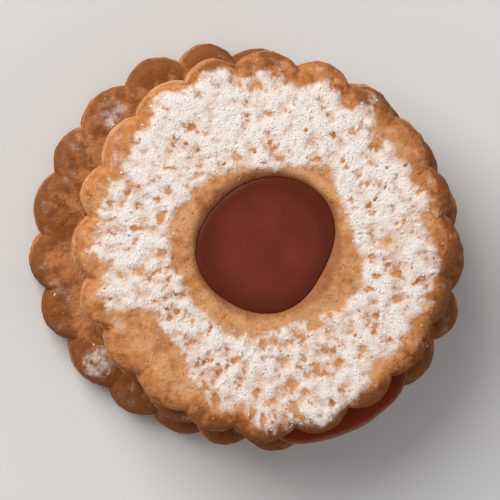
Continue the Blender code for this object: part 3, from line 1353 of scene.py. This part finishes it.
class LINZER_OT_icing_sugar(bpy.types.Operator):
    """Scatter the lumps of icing sugar that lie on the dusted biscuits"""

    bl_idname = "linzer.icing_sugar"
    bl_label = "Icing sugar"

    def execute(self, context):
        sugar = context.scene.linzer_sugar
        material = sugar_material(sugar)
        inputs = lump_values(sugar.lumps_per_square_mm, sugar.lump_size, sugar.seed, 2.4)
        tree = scatter_tree("sugar_lumps", "sugar", material, inputs, bends=1)
        scatter_over("sugar_lumps", tree, "icing_sugar")
        return {"FINISHED"}


class LINZER_OT_crumbs(bpy.types.Operator):
    """Scatter a few loose crumbs of crust on the ring and the ledges"""

    bl_idname = "linzer.crumbs"
    bl_label = "Crumbs"

    def execute(self, context):
        crumbs = context.scene.linzer_crumbs
        material = crumb_material(context.scene.linzer_biscuit)
        inputs = lump_values(crumbs.crumbs_per_square_mm, crumbs.size, crumbs.seed, 4.0)
        tree = scatter_tree("crumbs", "open", material, inputs, bends=2)
        scatter_over("crumbs", tree, "browned_shortcrust")
        return {"FINISHED"}


class LINZER_OT_stage(bpy.types.Operator):
    """Make the floor, the light and the camera"""

    bl_idname = "linzer.stage"
    bl_label = "Stage"

    def execute(self, context):
        stage = context.scene.linzer_stage
        make_floor(stage)
        make_lights()
        make_camera(stage)
        context.scene.view_settings.view_transform = "Standard"
        return {"FINISHED"}


def make_floor(stage):
    """Lay a plain floor that the cookie rests on."""
    mesh = bpy.data.meshes.new("floor")
    corners = [
        (x * FLOOR_HALF, y * FLOOR_HALF, FLOOR_Z) for x, y in ((-1, -1), (1, -1), (1, 1), (-1, 1))
    ]
    mesh.from_pydata(corners, [], [(0, 1, 2, 3)])
    mesh.materials.append(floor_material(stage.floor_colour))
    add_object("floor", mesh)


def make_lights():
    """Light the cookie as a window on its left would, with a weak fill and a pale sky."""
    for name, plan in LIGHTS.items():
        data = bpy.data.lights.new(name, "AREA")
        data.shape = "SQUARE"
        data.size = plan["size"]
        data.energy = plan["energy"]
        data.color = plan["colour"]
        lamp = add_object(name, data)
        away = Vector(plan["side"]).normalized()
        lamp.location = cookie_middle() + away * plan["distance"]
        lamp.rotation_euler = away.to_track_quat("Z", "Y").to_euler()
    world = bpy.data.worlds.new("studio")
    world.use_nodes = True
    sky = world.node_tree.nodes["Background"]
    sky.inputs["Color"].default_value = (1.0, 1.0, 1.0, 1.0)
    sky.inputs["Strength"].default_value = SKY_STRENGTH
    bpy.context.scene.world = world


def cookie_middle():
    """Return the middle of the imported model's box."""
    return (CAD_BOX[0] + CAD_BOX[1]) / 2


def make_camera(stage):
    """Look down on the cookie as the photograph does, from a little up and to the left."""
    data = bpy.data.cameras.new("camera")
    data.sensor_width = SENSOR_WIDTH
    data.lens = data.sensor_width * stage.distance / stage.frame_width
    data.clip_start = 0.01
    camera = add_object("camera", data)
    sideways = Vector(CAMERA_LEANS_TO) * math.sin(stage.tilt)
    back = Vector((sideways.x, sideways.y, math.cos(stage.tilt))).normalized()
    right = Vector((0.0, 1.0, 0.0)).cross(back).normalized()
    up = back.cross(right)
    turn = Matrix((right, up, back)).transposed().to_4x4()
    camera.matrix_world = Matrix.Translation(cookie_middle() + back * stage.distance) @ turn
    bpy.context.scene.camera = camera


class LINZER_PT_panel(bpy.types.Panel):
    """Lists the steps that make the cookie"""

    bl_label = "Linzer cookie"
    bl_space_type = "VIEW_3D"
    bl_region_type = "UI"
    bl_category = "Linzer cookie"

    def draw(self, context):
        for title, settings in SETTINGS.items():
            box = self.layout.box()
            group = getattr(context.scene, title)
            for name in settings.__annotations__:
                box.prop(group, name)
        for step in STEPS:
            self.layout.operator(step.bl_idname)


SETTINGS = {
    "linzer_biscuit": BiscuitSettings,
    "linzer_jam": JamSettings,
    "linzer_sugar": SugarSettings,
    "linzer_crumbs": CrumbSettings,
    "linzer_stage": StageSettings,
}
STEPS = [
    LINZER_OT_whole_biscuits,
    LINZER_OT_ring_biscuit,
    LINZER_OT_jam_layers,
    LINZER_OT_icing_sugar,
    LINZER_OT_crumbs,
    LINZER_OT_stage,
]


def register():
    """Register the settings, the steps and the panel."""
    for settings in SETTINGS.values():
        bpy.utils.register_class(settings)
    for title, settings in SETTINGS.items():
        setattr(bpy.types.Scene, title, PointerProperty(type=settings))
    for step in STEPS:
        bpy.utils.register_class(step)
    bpy.utils.register_class(LINZER_PT_panel)


def unregister():
    """Take back what register did."""
    bpy.utils.unregister_class(LINZER_PT_panel)
    for step in reversed(STEPS):
        bpy.utils.unregister_class(step)
    for title, settings in SETTINGS.items():
        delattr(bpy.types.Scene, title)
        bpy.utils.unregister_class(settings)


def main():
    """Make the whole cookie and its stage."""
    register()
    bpy.ops.linzer.whole_biscuits()
    bpy.ops.linzer.ring_biscuit()
    bpy.ops.linzer.jam_layers()
    bpy.ops.linzer.icing_sugar()
    bpy.ops.linzer.crumbs()
    bpy.ops.linzer.stage()


if __name__ == "__main__":
    main()
